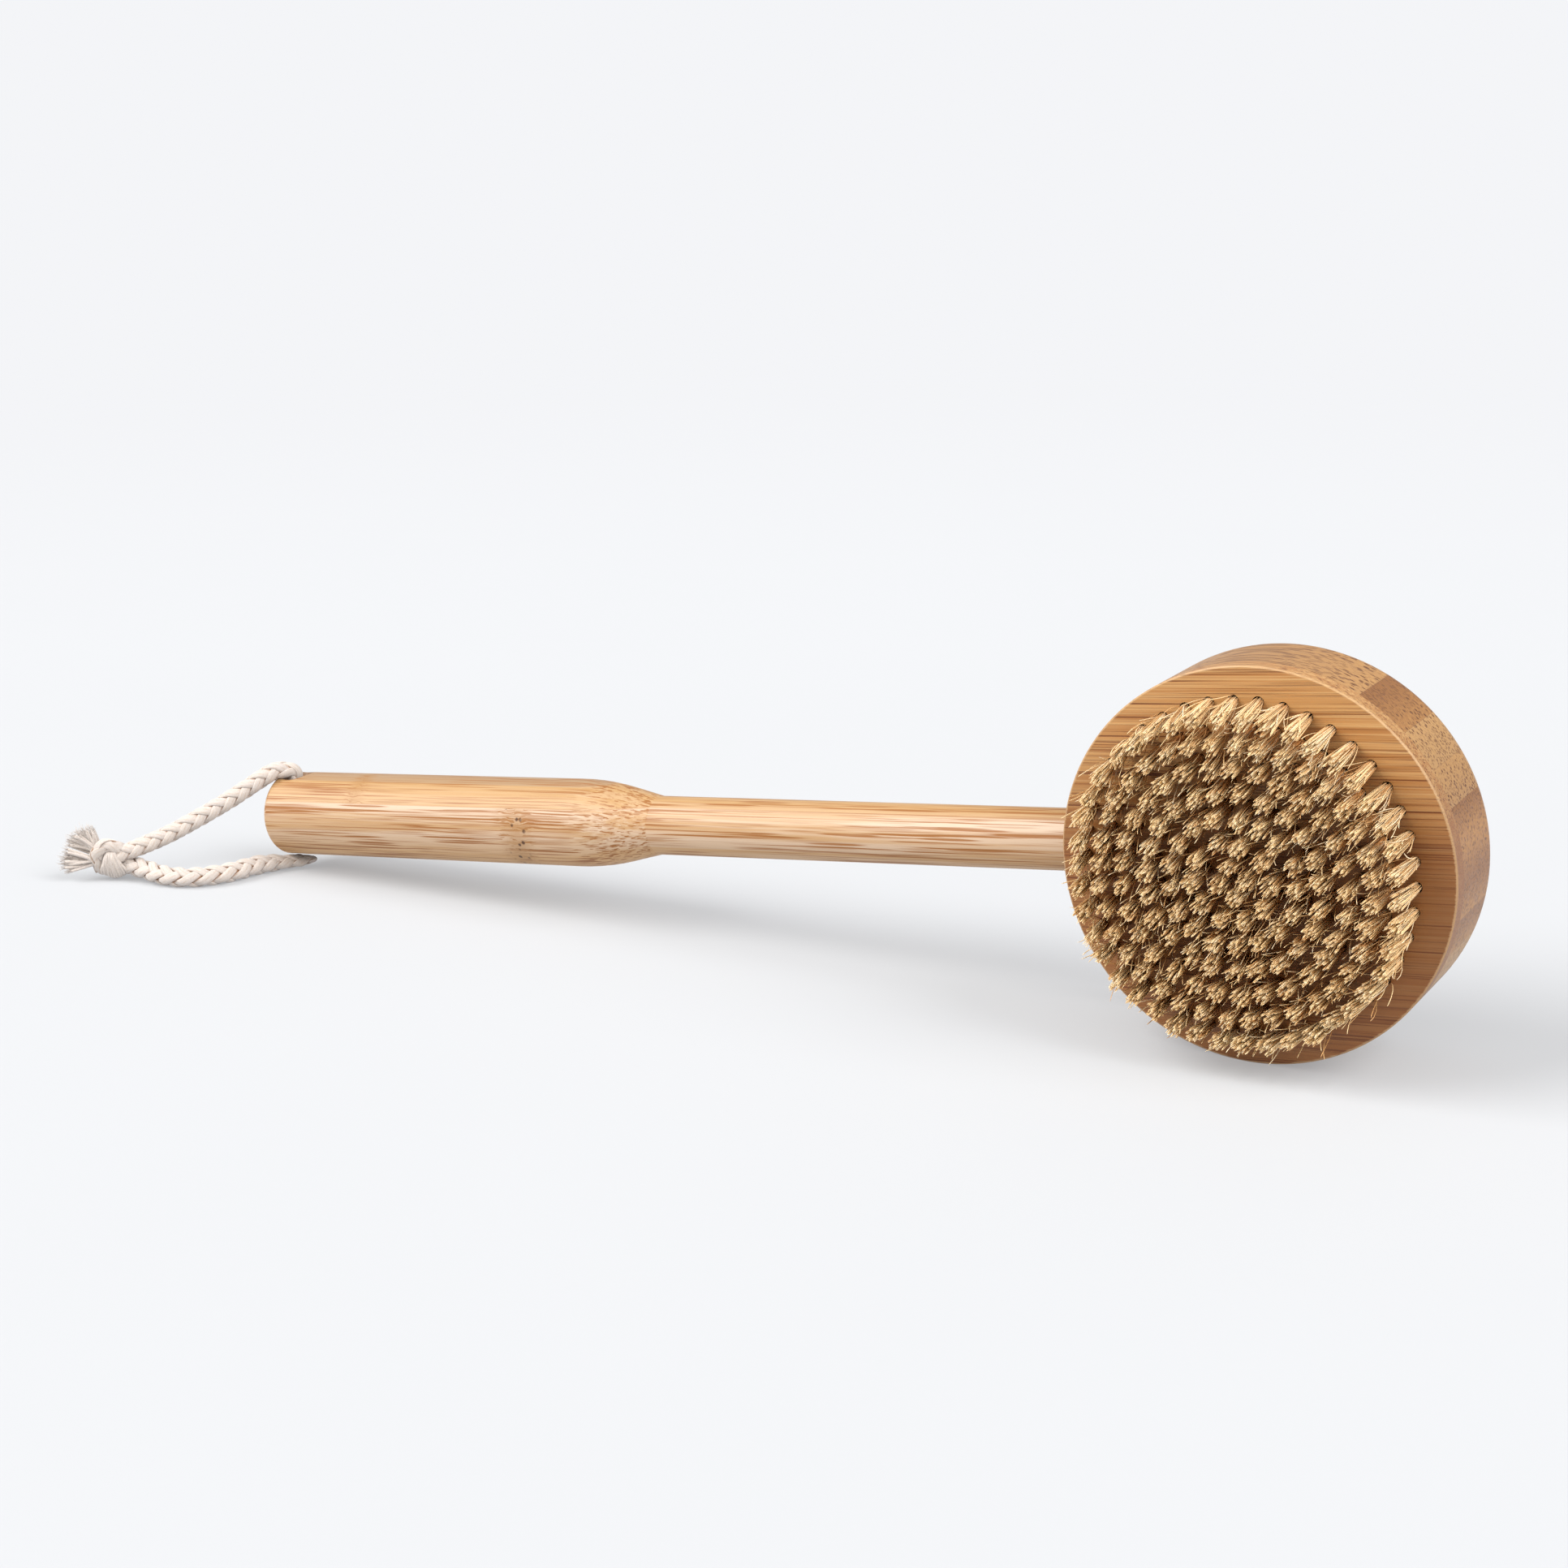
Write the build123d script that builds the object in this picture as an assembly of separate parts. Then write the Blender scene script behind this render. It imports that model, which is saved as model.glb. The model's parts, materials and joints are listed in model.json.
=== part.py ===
"""Long-handled body brush: a round laminated bamboo head that stands on its rim, a turned bamboo
handle that slopes down to the floor, rings of natural bristle tufts and a knotted hanging cord.

The floor is z = 0, the head's axis lies along Y, the bristles point to -Y and the handle to -X.
Millimetres and degrees. The origin is the middle of the wooden parts' and tufts' footprint.
"""

import os
from math import asin, cos, degrees, pi, radians, sin, tan

from build123d import *

# ---------------------------------------------------------------- driving dimensions
# Head: a front ply glued to a thicker back block, both laminated bamboo.
HEAD_DIAMETER = 110.0
HEAD_THICKNESS = 37.0
FACE_PLY_THICKNESS = 5.8
FACE_EDGE_BREAK = 0.4
BACK_EDGE_RADIUS = 7.5

# Handle: one turned piece, glued into a blind socket in the rim of the back block.
HANDLE_SET_BACK = 3.7  # handle axis behind the head's mid-thickness
GRIP_END = 355.0  # distance from the head's centre to the grip's end
GRIP_DIAMETER = 28.0
GRIP_END_ROUND = 2.0
NECK_DIAMETER_HEAD = 18.0
NECK_DIAMETER_SHOULDER = 18.4
NECK_END = 202.0  # the crisp corner where the shoulder starts
SHOULDER_SLOPE = 13.1
SHOULDER_ARC_SHARE = 0.46  # share of the shoulder's rise that is the convex arc
SOCKET_DEPTH = 36.0
SOCKET_GLUE_GAP = 0.05
SOCKET_END_GAP = 1.0

# Cross bore near the grip's end, for the cord.
BORE_FROM_END = 6.2
BORE_DIAMETER = 8.5
BORE_MOUTH_DIAMETER = 12.0
BORE_MOUTH_DEPTH = 3.0
SQUASHED_CORD_HEIGHT = 5.0  # what the cord holds the grip above the floor

# Bristle tufts, in rings, each folded over a flat wire anchor at the bottom of its hole.
OUTER_RING_RADIUS = 46.1
RING_PITCH = 7.0
RING_COUNT = 7
RING_CENTRE = (-1.8, -0.6)  # the rings sit a little towards the handle, (x, z) from the head's
TUFT_SPACING = 6.85
OUTER_RING_PHASE = 2.15
RING_PHASE_STEP = 137.5
TUFT_LENGTH = 19.0
TUFT_ROOT_DIAMETER = 3.1
TUFT_TIP_DIAMETER = 6.2
TUFT_HOLE_DIAMETER = 3.2
TUFT_HOLE_DEPTH = 9.5
ANCHOR_WIDTH = 3.6  # wider than the hole, so that it bites into the wood
ANCHOR_HEIGHT = 1.8
ANCHOR_THICKNESS = 0.3
ANCHOR_SLOT_GAP = 0.02

# Hanging cord: soft cotton, knotted with both ends beyond the grip.
CORD_DIAMETER = 6.0
EXIT_PAD_THICKNESS = 4.0
EXIT_PAD_WIDTH = 7.6
EXIT_PAD_START = 1.6  # how far the pad reaches behind the bore's axis
LEG_START_DEPTH = 8.0  # the upper leg starts this far below the grip's top
LEG_STRAIGHT_DEPTH = 2.6  # and runs straight up to here
KNOT_LENGTH = 12.0
KNOT_DIAMETER = 14.0
TAIL_REACH = 15.0
TAIL_TIP_DIAMETER = 7.5

# ---------------------------------------------------------------- derived geometry
HEAD_RADIUS = HEAD_DIAMETER / 2
GRIP_RADIUS = GRIP_DIAMETER / 2
BORE_STATION = GRIP_END - BORE_FROM_END
HANDLE_SLOPE = degrees(asin((HEAD_RADIUS - GRIP_RADIUS - SQUASHED_CORD_HEIGHT) / BORE_STATION))
FACE_Y = -HEAD_THICKNESS / 2
PLY_Y = FACE_Y + FACE_PLY_THICKNESS
BACK_Y = HEAD_THICKNESS / 2
HEAD_CENTRE = Vector(0, 0, HEAD_RADIUS)
ALONG_HANDLE = Vector(-cos(radians(HANDLE_SLOPE)), 0, -sin(radians(HANDLE_SLOPE)))
ACROSS_HANDLE = Vector(-sin(radians(HANDLE_SLOPE)), 0, cos(radians(HANDLE_SLOPE)))
HANDLE_ORIGIN = HEAD_CENTRE + Vector(0, HANDLE_SET_BACK, 0)
BORE_CENTRE = HANDLE_ORIGIN + ALONG_HANDLE * BORE_STATION
CORD_RADIUS = CORD_DIAMETER / 2

# The cord's two routes, measured from the bore's centre (x, y) and the floor (z).
# Both were laid out by hand: the upper leg falls from the bore's top mouth, the lower leg comes
# out squashed under the grip and curves over the floor.
UPPER_ROUTE = [
    (-2.3, -0.8, 33.5),
    (-4.4, -2.6, 35.7),
    (-7.5, -5.6, 35.8),
    (-11.3, -9.7, 32.7),
    (-18.6, -16.4, 26.6),
    (-27.6, -24.7, 20.0),
    (-35.9, -32.6, 14.3),
    (-46.6, -42.0, 9.2),
]
LOWER_ROUTE = [
    (-5.2, -7.6, 3.0),
    (-9.6, -15.0, 3.0),
    (-10.8, -25.9, 3.0),
    (-16.5, -33.9, 3.0),
    (-22.6, -37.9, 3.0),
    (-30.6, -39.0, 3.2),
    (-38.6, -37.3, 3.6),
    (-47.2, -38.4, 4.6),
]
KNOT_CENTRE = (-50.2, -42.4, 7.0)
KNOT_AXIS = (-0.9, -0.45, 0.0)
UPPER_TAIL_AXIS = (-1.0, -0.24, 0.5)
LOWER_TAIL_AXIS = (-1.0, -0.72, -0.2)


def at_bore(point):
    """A route point, from the bore's centre in plan and from the floor in height."""
    return Vector(BORE_CENTRE.X + point[0], BORE_CENTRE.Y + point[1], point[2])


def along_y(radius, start, end, x=0.0, z=0.0):
    """A cylinder along Y at (x, z) in the head's plane, from y = start to y = end."""
    plane = Plane(origin=(x, start, HEAD_RADIUS + z), x_dir=(1, 0, 0), z_dir=(0, 1, 0))
    return extrude(plane * Circle(radius), amount=end - start)


# ---------------------------------------------------------------- tuft positions
def ring_radius(ring):
    return OUTER_RING_RADIUS - ring * RING_PITCH


def ring_positions(ring):
    """(x, z) of each tuft of a ring, from the head's centre."""
    radius = ring_radius(ring)
    count = round(2 * pi * radius / TUFT_SPACING)
    phase = OUTER_RING_PHASE + ring * RING_PHASE_STEP
    angles = [radians(phase + 360 * i / count) for i in range(count)]
    middle_x, middle_z = RING_CENTRE
    return [(middle_x + radius * cos(a), middle_z + radius * sin(a)) for a in angles]


TUFT_POSITIONS = [xz for ring in range(RING_COUNT) for xz in ring_positions(ring)]


def tuft_holes():
    """Every blind tuft hole, drilled through the ply into the back block."""
    bottom = FACE_Y + TUFT_HOLE_DEPTH
    return [along_y(TUFT_HOLE_DIAMETER / 2, FACE_Y - 1, bottom, x, z) for x, z in TUFT_POSITIONS]


# ---------------------------------------------------------------- wood
def head_face_ply():
    ply = along_y(HEAD_RADIUS, FACE_Y, PLY_Y)
    front_edge = ply.edges().filter_by(GeomType.CIRCLE).sort_by(Axis.Y)[0]
    ply = chamfer(front_edge, FACE_EDGE_BREAK)
    return ply - tuft_holes()


def head_back_block():
    block = along_y(HEAD_RADIUS, PLY_Y, BACK_Y)
    back_edge = block.edges().filter_by(GeomType.CIRCLE).sort_by(Axis.Y)[-1]
    block = fillet(back_edge, BACK_EDGE_RADIUS)
    socket_start = HEAD_RADIUS - SOCKET_DEPTH
    socket_plane = Plane(HANDLE_ORIGIN + ALONG_HANDLE * socket_start, z_dir=ALONG_HANDLE)
    socket = extrude(
        socket_plane * Circle(NECK_DIAMETER_HEAD / 2 + SOCKET_GLUE_GAP), amount=SOCKET_DEPTH + 5
    )
    return block - socket - tuft_holes()


def handle():
    """The turned handle: neck, straight shoulder taper, convex shoulder and cylindrical grip."""
    inner_end = HEAD_RADIUS - SOCKET_DEPTH + SOCKET_END_GAP
    neck_head = NECK_DIAMETER_HEAD / 2
    neck_corner = NECK_DIAMETER_SHOULDER / 2
    slope = radians(SHOULDER_SLOPE)
    rise = GRIP_RADIUS - neck_corner
    # The convex arc takes a share of the rise, and it is tangent to the taper and to the grip.
    arc_rise = rise * SHOULDER_ARC_SHARE
    arc_radius = arc_rise / (1 - cos(slope))
    taper_end = NECK_END + (rise - arc_rise) / tan(slope)
    arc_end = taper_end + arc_radius * sin(slope)
    half = slope / 2
    arc_middle = (
        arc_end - arc_radius * sin(half),
        GRIP_RADIUS - arc_radius * (1 - cos(half)),
    )
    round_corner = 1 - cos(radians(45))
    end_round = GRIP_END_ROUND
    outline = [
        Line((inner_end, 0), (inner_end, neck_head)),
        Line((inner_end, neck_head), (HEAD_RADIUS, neck_head)),
        Line((HEAD_RADIUS, neck_head), (NECK_END, neck_corner)),
        Line((NECK_END, neck_corner), (taper_end, GRIP_RADIUS - arc_rise)),
        ThreePointArc((taper_end, GRIP_RADIUS - arc_rise), arc_middle, (arc_end, GRIP_RADIUS)),
        Line((arc_end, GRIP_RADIUS), (GRIP_END - end_round, GRIP_RADIUS)),
        ThreePointArc(
            (GRIP_END - end_round, GRIP_RADIUS),
            (GRIP_END - end_round * round_corner, GRIP_RADIUS - end_round * round_corner),
            (GRIP_END, GRIP_RADIUS - end_round),
        ),
        Line((GRIP_END, GRIP_RADIUS - end_round), (GRIP_END, 0)),
        Line((GRIP_END, 0), (inner_end, 0)),
    ]
    profile = make_face(Plane(HANDLE_ORIGIN, x_dir=ALONG_HANDLE, z_dir=(0, -1, 0)) * Curve(outline))
    turned = revolve(profile, Axis(HANDLE_ORIGIN, ALONG_HANDLE))
    return turned - cross_bore()


def cross_bore():
    """The cord's bore, with a countersunk mouth at both ends."""
    reach = GRIP_RADIUS + 3
    bore_plane = Plane(BORE_CENTRE - ACROSS_HANDLE * reach, z_dir=ACROSS_HANDLE)
    bore = extrude(bore_plane * Circle(BORE_DIAMETER / 2), amount=2 * reach)
    inner, outer = BORE_DIAMETER / 2, BORE_MOUTH_DIAMETER / 2
    for side in (1, -1):
        out = ACROSS_HANDLE * side
        start = Plane(BORE_CENTRE + out * (GRIP_RADIUS - BORE_MOUTH_DEPTH), z_dir=out)
        rim = Plane(BORE_CENTRE + out * GRIP_RADIUS, z_dir=out)
        beyond = Plane(BORE_CENTRE + out * (GRIP_RADIUS + 1), z_dir=out)
        bore += loft([start * Circle(inner), rim * Circle(outer)])
        bore += loft([rim * Circle(outer), beyond * Circle(outer)])
    return bore


# ---------------------------------------------------------------- tufts
def tuft(x, z):
    """One folded tuft: straight in its hole, flared outside, slotted over its anchor."""
    root, tip = TUFT_ROOT_DIAMETER / 2, TUFT_TIP_DIAMETER / 2
    bottom = FACE_Y + TUFT_HOLE_DEPTH
    stem = along_y(root, FACE_Y, bottom, x, z)
    face = Plane(origin=(x, FACE_Y, HEAD_RADIUS + z), x_dir=(1, 0, 0), z_dir=(0, -1, 0))
    flare = loft([face * Circle(root), face.offset(TUFT_LENGTH) * Circle(tip)])
    slot = Box(
        2 * ANCHOR_WIDTH,
        ANCHOR_HEIGHT + ANCHOR_SLOT_GAP,
        ANCHOR_THICKNESS + 2 * ANCHOR_SLOT_GAP,
        align=(Align.CENTER, Align.MAX, Align.CENTER),
    )
    return stem + flare - Pos(x, bottom, HEAD_RADIUS + z) * slot


def anchor(x, z):
    """The flat wire that holds a tuft at the bottom of its hole."""
    wire = Box(
        ANCHOR_WIDTH,
        ANCHOR_HEIGHT,
        ANCHOR_THICKNESS,
        align=(Align.CENTER, Align.MAX, Align.CENTER),
    )
    return Pos(x, FACE_Y + TUFT_HOLE_DEPTH, HEAD_RADIUS + z) * wire


# ---------------------------------------------------------------- cord
def fillet_radii(points):
    """For each corner, 0.45 of the shorter run divided by the tangent of half the turn."""
    radii = []
    for before, corner, after in zip(points, points[1:], points[2:]):
        run_in, run_out = corner - before, after - corner
        half_turn = radians(run_in.get_angle(run_out)) / 2
        radii.append(0.45 * min(run_in.length, run_out.length) / tan(half_turn))
    return radii


def cord_tube(name, points):
    """A round tube of straight runs and tangent arcs through the route's points."""
    radii = fillet_radii(points)
    path = FilletPolyline(*points, radius=radii)
    section = Plane(origin=path @ 0, z_dir=path % 0) * Circle(CORD_RADIUS)
    tube = sweep(section, path=path)
    ideal = pi * CORD_RADIUS**2 * path.length
    print(name, "length", round(path.length, 1), "radii", [round(r, 1) for r in radii])
    print(name, "volume over section times length", round(tube.volume / ideal, 4))
    return tube


def everything_below(height):
    """A block under the given height that is wider than the cord's loop."""
    side = 4 * GRIP_DIAMETER
    block = Box(side, side, side, align=(Align.CENTER, Align.CENTER, Align.MAX))
    return Pos(BORE_CENTRE.X, BORE_CENTRE.Y, height) * block


def cord_upper_leg():
    start = BORE_CENTRE + ACROSS_HANDLE * (GRIP_RADIUS - LEG_START_DEPTH)
    above = BORE_CENTRE + ACROSS_HANDLE * (GRIP_RADIUS - LEG_STRAIGHT_DEPTH)
    tube = cord_tube("cord_upper_leg", [start, above] + [at_bore(p) for p in UPPER_ROUTE])
    return tube - cord_knot()


def cord_lower_leg():
    tube = cord_tube("cord_lower_leg", [at_bore(p) for p in LOWER_ROUTE])
    return tube - cord_knot() - cord_exit_pad()


def cord_bore_run():
    """The straight stretch inside the bore, down to the squashed stretch under the grip."""
    below_grip = GRIP_RADIUS + SQUASHED_CORD_HEIGHT
    bottom = Plane(BORE_CENTRE - ACROSS_HANDLE * below_grip, z_dir=ACROSS_HANDLE)
    length = below_grip + GRIP_RADIUS - LEG_START_DEPTH
    run = extrude(bottom * Circle(CORD_RADIUS), amount=length)
    return run - everything_below(EXIT_PAD_THICKNESS)


def cord_exit_pad():
    """The cord where the grip rests on it: pressed flat, from the bore out to the free leg."""
    start = at_bore((EXIT_PAD_START, 0, 0))
    end = at_bore(LOWER_ROUTE[0])
    run = Vector(end.X - start.X, end.Y - start.Y, 0)
    middle = (start + end) * 0.5
    floor_plane = Plane(origin=(middle.X, middle.Y, 0), x_dir=run, z_dir=(0, 0, 1))
    outline = floor_plane * SlotCenterToCenter(run.length, EXIT_PAD_WIDTH)
    return extrude(outline, amount=EXIT_PAD_THICKNESS)


def cord_knot():
    """The overhand knot that both ends share, a plump ellipsoid across the two legs."""
    plane = Plane(origin=at_bore(KNOT_CENTRE), x_dir=KNOT_AXIS, z_dir=(0, 0, 1))
    ball = Sphere(KNOT_DIAMETER / 2)
    return plane * scale(ball, by=(KNOT_LENGTH / KNOT_DIAMETER, 1, 1))


def cord_tail(direction):
    """One frayed end, a short fan that leaves the knot."""
    plane = Plane(origin=at_bore(KNOT_CENTRE), z_dir=direction)
    tail = loft(
        [plane * Circle(CORD_RADIUS), plane.offset(TAIL_REACH) * Circle(TAIL_TIP_DIAMETER / 2)]
    )
    return tail - cord_knot() - everything_below(0)


# ---------------------------------------------------------------- assembly
def build():
    """Every node by name, before the origin is moved under the wooden parts."""
    nodes = {
        "head_face_ply": head_face_ply(),
        "head_back_block": head_back_block(),
        "handle": handle(),
    }
    for ring in range(RING_COUNT):
        places = ring_positions(ring)
        nodes[f"tuft_ring_{ring + 1}"] = Compound(children=[tuft(x, z) for x, z in places])
        nodes[f"anchor_ring_{ring + 1}"] = Compound(children=[anchor(x, z) for x, z in places])
    upper_tail = cord_tail(UPPER_TAIL_AXIS)
    nodes |= {
        "cord_bore_run": cord_bore_run(),
        "cord_upper_leg": cord_upper_leg(),
        "cord_exit_pad": cord_exit_pad(),
        "cord_lower_leg": cord_lower_leg(),
        "cord_knot": cord_knot(),
        "cord_tail_upper": upper_tail,
        "cord_tail_lower": cord_tail(LOWER_TAIL_AXIS) - upper_tail,
    }
    return nodes


def main():
    nodes = build()
    stands = [shape.bounding_box() for name, shape in nodes.items() if not name.startswith("cord")]
    low_x, high_x = min(box.min.X for box in stands), max(box.max.X for box in stands)
    low_y, high_y = min(box.min.Y for box in stands), max(box.max.Y for box in stands)
    to_origin = Pos(-(low_x + high_x) / 2, -(low_y + high_y) / 2, 0)
    os.makedirs("parts", exist_ok=True)
    for name, shape in nodes.items():
        export_step(to_origin * shape, f"parts/{name}.step")
    shift = to_origin.position
    print("head centre", HEAD_CENTRE + shift, "bore centre", BORE_CENTRE + shift)
    print("bore axis", ACROSS_HANDLE, "slope", HANDLE_SLOPE, "tufts", len(TUFT_POSITIONS))


main()
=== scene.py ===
"""Long-handled body brush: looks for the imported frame. Lengths are in metres unless a name says mm."""

import json
from math import cos, pi, radians, sin

import bpy
import numpy as np
from mathutils import Matrix, Vector


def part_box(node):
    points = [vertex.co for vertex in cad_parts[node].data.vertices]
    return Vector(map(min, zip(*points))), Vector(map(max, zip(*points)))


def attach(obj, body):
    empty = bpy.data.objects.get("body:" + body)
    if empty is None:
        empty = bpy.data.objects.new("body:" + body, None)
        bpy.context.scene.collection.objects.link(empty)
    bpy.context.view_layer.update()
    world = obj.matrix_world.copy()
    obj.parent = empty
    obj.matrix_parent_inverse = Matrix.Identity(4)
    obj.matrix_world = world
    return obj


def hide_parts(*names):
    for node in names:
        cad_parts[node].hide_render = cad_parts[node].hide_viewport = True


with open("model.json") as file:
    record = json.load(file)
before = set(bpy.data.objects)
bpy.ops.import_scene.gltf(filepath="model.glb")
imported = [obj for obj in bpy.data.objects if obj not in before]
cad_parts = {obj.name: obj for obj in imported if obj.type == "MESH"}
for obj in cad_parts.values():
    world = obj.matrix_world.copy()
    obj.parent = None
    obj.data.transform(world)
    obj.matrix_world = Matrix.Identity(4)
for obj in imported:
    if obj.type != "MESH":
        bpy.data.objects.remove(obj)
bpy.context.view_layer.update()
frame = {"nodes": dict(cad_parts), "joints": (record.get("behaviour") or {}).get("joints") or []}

MM = 0.001

# ------------------------------------------------------------------ places read from the frame
swing = next(j for j in frame["joints"] if j["name"] == "loop_swing")
BORE = Vector(swing["pos_m"])
ACROSS = Vector(swing["axis"]).normalized()
ALONG = Vector((-ACROSS.z, 0, ACROSS.x))
block_low, block_high = (Vector(c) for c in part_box("head_back_block"))
FACE_Y = Vector(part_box("head_face_ply")[0]).y
HEAD = (block_low + block_high) / 2
HEAD.y = (FACE_Y + block_high.y) / 2
WOOD_ORIGIN = Vector((HEAD.x, BORE.y, HEAD.z))
GRIP_RADIUS = 14 * MM
PLY_RADIUS_MM = 55.0


# ------------------------------------------------------------------ camera
AZIMUTH, ELEVATION, ROLL = radians(30.18), radians(15.52), radians(-0.89)
LENS_MM, SENSOR_MM = 59.42, 36
CAMERA_FROM_HEAD_MM = Vector((222.896, -648.991, 207.770))
NEAR_M, FAR_M = 0.02, 50


def make_camera():
    """Looks at the head and the handle from the front right, a little from above."""
    back = Vector((sin(AZIMUTH) * cos(ELEVATION), -cos(AZIMUTH) * cos(ELEVATION), sin(ELEVATION)))
    level_right = Vector((cos(AZIMUTH), sin(AZIMUTH), 0))
    level_up = back.cross(level_right)
    right = cos(ROLL) * level_right + sin(ROLL) * level_up
    up = -sin(ROLL) * level_right + cos(ROLL) * level_up
    data = bpy.data.cameras.new("camera")
    data.lens, data.sensor_width = LENS_MM, SENSOR_MM
    data.clip_start, data.clip_end = NEAR_M, FAR_M
    camera = bpy.data.objects.new("camera", data)
    turn = Matrix((right, up, back)).transposed()
    place = HEAD + CAMERA_FROM_HEAD_MM * MM
    camera.matrix_world = Matrix.Translation(place) @ turn.to_4x4()
    bpy.context.scene.collection.objects.link(camera)
    bpy.context.scene.camera = camera


# ------------------------------------------------------------------ mesh helpers
class Builder:
    """Collects vertices, faces and one colour per vertex, then makes an object."""

    def __init__(self):
        self.verts, self.faces, self.colours, self.count = [], [], [], 0

    def add(self, verts, faces, colours):
        self.verts.append(verts)
        self.faces += [[i + self.count for i in face] for face in faces]
        self.colours.append(colours)
        self.count += len(verts)

    def object(self, name, material):
        mesh = bpy.data.meshes.new(name)
        mesh.from_pydata(np.concatenate(self.verts).tolist(), [], self.faces)
        layer = mesh.attributes.new("fibre", "FLOAT_COLOR", "POINT")
        colours = np.concatenate(self.colours)
        rgba = np.ones((len(colours), 4), dtype=np.float32)
        rgba[:, :3] = colours
        layer.data.foreach_set("color", rgba.ravel())
        mesh.polygons.foreach_set("use_smooth", np.ones(len(mesh.polygons), dtype=bool))
        mesh.materials.append(material)
        mesh.update()
        obj = bpy.data.objects.new(name, mesh)
        bpy.context.scene.collection.objects.link(obj)
        return obj


def unit(v):
    return v / np.maximum(np.linalg.norm(v, axis=-1, keepdims=True), 1e-12)


def tangents(points):
    return unit(np.gradient(points, axis=0))


def frames_along(points, first_side):
    """Sides and ups along a line, carried from its first point without twist."""
    tangent = tangents(points)
    side = np.array(first_side, dtype=float)
    sides = []
    for t in tangent:
        side = side - t * np.dot(side, t)
        side /= np.linalg.norm(side)
        sides.append(side)
    sides = np.array(sides)
    return sides, np.cross(sides, tangent)


def tube_faces(n, m):
    """The faces of a closed tube of n rings with m points each."""
    faces = []
    for i in range(n - 1):
        a, b = i * m, (i + 1) * m
        faces += [(a + j, a + (j + 1) % m, b + (j + 1) % m, b + j) for j in range(m)]
    faces.append(tuple(range(m - 1, -1, -1)))
    faces.append(tuple((n - 1) * m + j for j in range(m)))
    return faces


def skin(rings, colours):
    """Verts, faces and colours of a closed tube through rings of points, shape (n, m, 3)."""
    return rings.reshape(-1, 3), tube_faces(*rings.shape[:2]), colours.reshape(-1, 3)


def spline_points(points):
    """Points along a NURBS spline that has the given control points."""
    data = bpy.data.curves.new("route", "CURVE")
    data.dimensions = "3D"
    spline = data.splines.new("NURBS")
    spline.points.add(len(points) - 1)
    for p, co in zip(spline.points, points):
        p.co = (*co, 1)
    spline.order_u, spline.use_endpoint_u, spline.resolution_u = 3, True, 24
    obj = bpy.data.objects.new("route", data)
    bpy.context.scene.collection.objects.link(obj)
    bpy.context.view_layer.update()
    mesh = bpy.data.meshes.new_from_object(obj.evaluated_get(bpy.context.evaluated_depsgraph_get()))
    line = np.array([v.co[:] for v in mesh.vertices])
    bpy.data.objects.remove(obj)
    bpy.data.curves.remove(data)
    bpy.data.meshes.remove(mesh)
    return line


def even(line, step):
    """The line read at even steps, and the distance along it of each."""
    run = np.concatenate([[0], np.cumsum(np.linalg.norm(np.diff(line, axis=0), axis=1))])
    at = np.linspace(0, run[-1], max(4, int(run[-1] / step)))
    return np.stack([np.interp(at, run, line[:, k]) for k in range(3)], axis=1), at


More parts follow.
